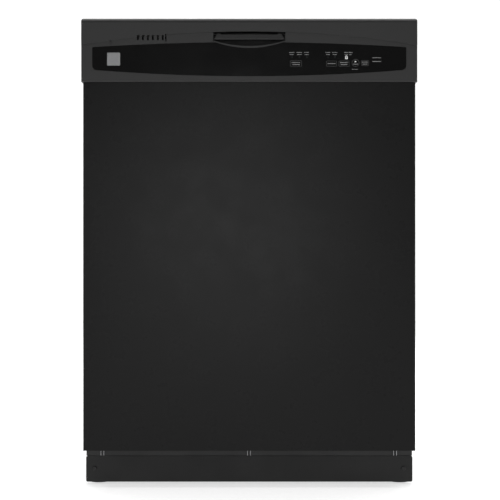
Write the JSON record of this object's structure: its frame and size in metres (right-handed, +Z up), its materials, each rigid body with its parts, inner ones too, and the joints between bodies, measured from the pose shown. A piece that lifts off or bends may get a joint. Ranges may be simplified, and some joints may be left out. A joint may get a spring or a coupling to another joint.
{
  "type": "built-in dishwasher",
  "caption": "Black built-in dishwasher with a drop-down door, front control console, recessed handle, kick plate, wire racks and spray arms.",
  "frame": {"origin": "floor level, under the middle of the outer box", "axes": "+Z up, -Y out of the door's front, +X to the right seen from the front"},
  "size_m": [0.606, 0.622, 0.848],
  "materials": {
    "tub_grey": "satin moulded",
    "rubber_grey": "matte",
    "zinc_steel": "zinc plated",
    "felt": "fibrous",
    "black_paint": "semi-gloss",
    "toe_black": "satin",
    "screw_black": "satin",
    "white_plastic": "satin",
    "grey_plastic": "satin",
    "black_plastic": "fine grain",
    "console_black": "satin moulded",
    "overlay_black": "glossy",
    "motor_steel": "satin",
    "heater_metal": "oxidised",
    "lamp": "translucent",
    "badge_satin": "satin",
    "board_green": "solder mask",
    "rack_nylon": "nylon coated",
    "spring_steel": "bare wire",
    "hose_rubber": "matte"
  },
  "bodies": {
    "cabinet": {"tub": "tub_grey", "tub_gasket": "rubber_grey", "tub_frame": "zinc_steel", "base_frame": "zinc_steel", "insulation_blanket": "felt", "toe_panel": "toe_black", "access_panel": "toe_black", "toe_screws": "screw_black", "sump": "grey_plastic", "filter_cup": "grey_plastic", "circulation_pump": "motor_steel", "drain_pump": "black_plastic", "inlet_valve": "white_plastic", "fill_hose": "hose_rubber", "heating_element": "heater_metal", "feed_tube": "grey_plastic", "junction_box": "zinc_steel", "door_springs": "spring_steel", "roller_studs": "zinc_steel"},
    "rollers_front": {"rollers_front": "white_plastic"},
    "rollers_rear": {"rollers_rear": "white_plastic"},
    "foot_front_left": {"foot_front_left": "black_plastic"},
    "foot_front_right": {"foot_front_right": "black_plastic"},
    "foot_rear_left": {"foot_rear_left": "black_plastic"},
    "foot_rear_right": {"foot_rear_right": "black_plastic"},
    "float": {"float": "white_plastic"},
    "lower_spray_arm": {"lower_spray_arm": "grey_plastic"},
    "top_spray_arm": {"top_spray_arm": "grey_plastic"},
    "door": {"door_panel": "black_paint", "door_liner": "tub_grey", "sound_pad": "felt", "hinge_arms": "zinc_steel", "door_screws": "screw_black", "console": "console_black", "control_overlay": "overlay_black", "indicator_lights": "lamp", "badge_plate": "badge_satin", "control_board": "board_green", "handle_pocket": "black_plastic", "latch_housing": "black_plastic", "vent_duct": "black_plastic", "dispenser_body": "grey_plastic"},
    "latch_jaw": {"latch_jaw": "white_plastic"},
    "detergent_lid": {"detergent_lid": "grey_plastic"},
    "rinse_cap": {"rinse_cap": "black_plastic"},
    "handle_lever": {"handle_lever": "console_black"},
    "key_1": {"key_1": "overlay_black"},
    "key_2": {"key_2": "overlay_black"},
    "key_3": {"key_3": "overlay_black"},
    "key_4": {"key_4": "overlay_black"},
    "key_round": {"key_round": "overlay_black"},
    "lower_rack": {"lower_rack": "rack_nylon", "silverware_basket": "grey_plastic"},
    "wheels_front": {"wheels_front": "grey_plastic"},
    "wheels_rear": {"wheels_rear": "grey_plastic"},
    "upper_rack": {"upper_rack": "rack_nylon", "upper_rails": "zinc_steel", "manifold": "grey_plastic"},
    "middle_spray_arm": {"middle_spray_arm": "grey_plastic"},
    "cup_shelf": {"cup_shelf": "rack_nylon"}
  },
  "joints": [
    {"name": "door_hinge", "type": "hinge", "parent": "cabinet", "child": "door", "pos_m": [0, -0.281, 0.093], "axis": [1, 0, 0], "range_deg": [0, 90], "stiffness_Nm_per_rad": 18, "deforming": ["door_springs"]},
    {"name": "handle_pull", "type": "hinge", "parent": "door", "child": "handle_lever", "pos_m": [0, -0.3, 0.8204], "axis": [-1, 0, 0], "range_deg": [0, 12], "stiffness_Nm_per_rad": 0.6, "springref_deg": -5.73},
    {"name": "latch_jaw_turn", "type": "hinge", "parent": "door", "child": "latch_jaw", "pos_m": [0, -0.262, 0.822], "axis": [1, 0, 0], "range_deg": [0, 12]},
    {"name": "key_1_press", "type": "slide", "parent": "door", "child": "key_1", "axis": [0, 1, 0], "range_m": [0, 0.0004], "stiffness_N_per_m": 4000},
    {"name": "key_2_press", "type": "slide", "parent": "door", "child": "key_2", "axis": [0, 1, 0], "range_m": [0, 0.0004], "stiffness_N_per_m": 4000},
    {"name": "key_3_press", "type": "slide", "parent": "door", "child": "key_3", "axis": [0, 1, 0], "range_m": [0, 0.0004], "stiffness_N_per_m": 4000},
    {"name": "key_4_press", "type": "slide", "parent": "door", "child": "key_4", "axis": [0, 1, 0], "range_m": [0, 0.0004], "stiffness_N_per_m": 4000},
    {"name": "key_round_press", "type": "slide", "parent": "door", "child": "key_round", "axis": [0, 1, 0], "range_m": [0, 0.0004], "stiffness_N_per_m": 4000},
    {"name": "detergent_lid_hinge", "type": "hinge", "parent": "door", "child": "detergent_lid", "pos_m": [-0.022, -0.242, 0.345], "axis": [-1, 0, 0], "range_deg": [0, 95]},
    {"name": "rinse_cap_turn", "type": "hinge", "parent": "door", "child": "rinse_cap", "pos_m": [0.058, -0.25, 0.389], "axis": [0, 1, 0], "range_deg": [0, 90]},
    {"name": "upper_rack_slide", "type": "slide", "parent": "cabinet", "child": "upper_rack", "axis": [0, -1, 0], "range_m": [0, 0.4]},
    {"name": "roller_front_turn", "type": "hinge", "parent": "cabinet", "child": "rollers_front", "pos_m": [0, -0.228, 0.6], "axis": [1, 0, 0], "continuous": true},
    {"name": "roller_rear_turn", "type": "hinge", "parent": "cabinet", "child": "rollers_rear", "pos_m": [0, -0.16, 0.6], "axis": [1, 0, 0], "continuous": true},
    {"name": "middle_arm_spin", "type": "hinge", "parent": "upper_rack", "child": "middle_spray_arm", "pos_m": [0, 0.02, 0.479], "axis": [0, 0, 1], "continuous": true},
    {"name": "cup_shelf_fold", "type": "hinge", "parent": "upper_rack", "child": "cup_shelf", "pos_m": [-0.2315, -0.01, 0.6322], "axis": [0, -1, 0], "range_deg": [0, 80]},
    {"name": "lower_rack_slide", "type": "slide", "parent": "cabinet", "child": "lower_rack", "axis": [0, -1, 0], "range_m": [0, 0.5]},
    {"name": "wheel_front_turn", "type": "hinge", "parent": "lower_rack", "child": "wheels_front", "pos_m": [0, -0.161, 0.153], "axis": [1, 0, 0], "continuous": true},
    {"name": "wheel_rear_turn", "type": "hinge", "parent": "lower_rack", "child": "wheels_rear", "pos_m": [0, 0.19, 0.153], "axis": [1, 0, 0], "continuous": true},
    {"name": "lower_arm_spin", "type": "hinge", "parent": "cabinet", "child": "lower_spray_arm", "pos_m": [0, 0.02, 0.153], "axis": [0, 0, 1], "continuous": true},
    {"name": "top_arm_spin", "type": "hinge", "parent": "cabinet", "child": "top_spray_arm", "pos_m": [0, 0.02, 0.796], "axis": [0, 0, 1], "continuous": true},
    {"name": "float_lift", "type": "slide", "parent": "cabinet", "child": "float", "axis": [0, 0, 1], "range_m": [0, 0.008]},
    {"name": "foot_front_left_screw", "type": "slide", "parent": "cabinet", "child": "foot_front_left", "axis": [0, 0, -1], "range_m": [0, 0.02]},
    {"name": "foot_front_right_screw", "type": "slide", "parent": "cabinet", "child": "foot_front_right", "axis": [0, 0, -1], "range_m": [0, 0.02]},
    {"name": "foot_rear_left_screw", "type": "slide", "parent": "cabinet", "child": "foot_rear_left", "axis": [0, 0, -1], "range_m": [0, 0.02]},
    {"name": "foot_rear_right_screw", "type": "slide", "parent": "cabinet", "child": "foot_rear_right", "axis": [0, 0, -1], "range_m": [0, 0.02]}
  ],
  "couplings": [
    {"joint": "latch_jaw_turn", "follows": "handle_pull", "ratio": 1},
    {"joint": "upper_rack_slide", "follows": "door_hinge", "m_per_rad": 0.2546},
    {"joint": "roller_front_turn", "follows": "door_hinge", "ratio": 29.6},
    {"joint": "roller_rear_turn", "follows": "door_hinge", "ratio": 29.6},
    {"joint": "lower_rack_slide", "follows": "door_hinge", "m_per_rad": 0.1},
    {"joint": "wheel_front_turn", "follows": "door_hinge", "ratio": 5.556},
    {"joint": "wheel_rear_turn", "follows": "door_hinge", "ratio": 5.556}
  ]
}
